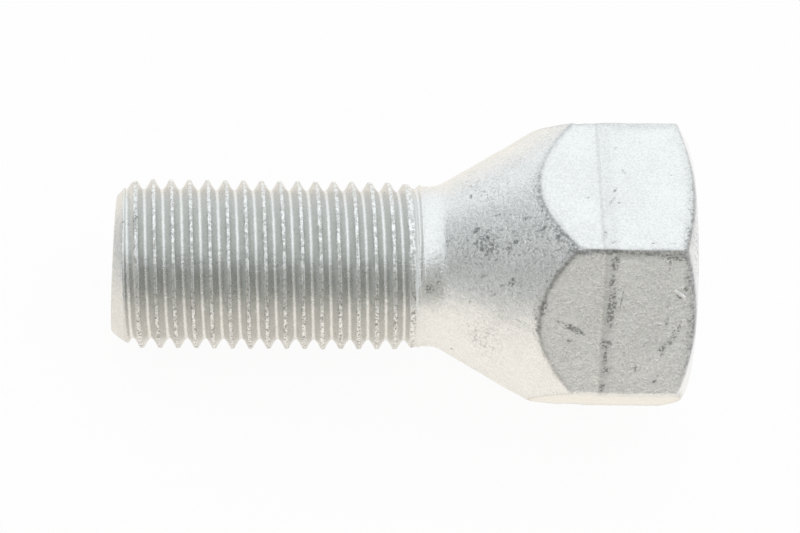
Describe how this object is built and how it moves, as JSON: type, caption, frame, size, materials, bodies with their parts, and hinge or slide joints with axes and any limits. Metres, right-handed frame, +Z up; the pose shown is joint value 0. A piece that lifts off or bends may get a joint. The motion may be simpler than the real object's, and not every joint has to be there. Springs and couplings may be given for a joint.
{
  "type": "wheel bolt",
  "caption": "Zinc-plated wheel bolt with a threaded shank, a conical seat that widens into a hexagon head, and a chamfered flat end.",
  "frame": {"origin": "on the table that the bolt lies on, under the middle of its bounding box", "axes": "+X runs along the table from the thread's tip to the head, +Z is up; the bolt's own axis rises 7.12 degrees towards the head"},
  "size_m": [0.041, 0.0214, 0.0198],
  "materials": {
    "zinc_steel": "cold-forged steel with a light grey zinc coat, satin on the flats and shank, with dull scuffs"
  },
  "bodies": {
    "root": {"wheel_bolt": "zinc_steel"}
  },
  "joints": []
}
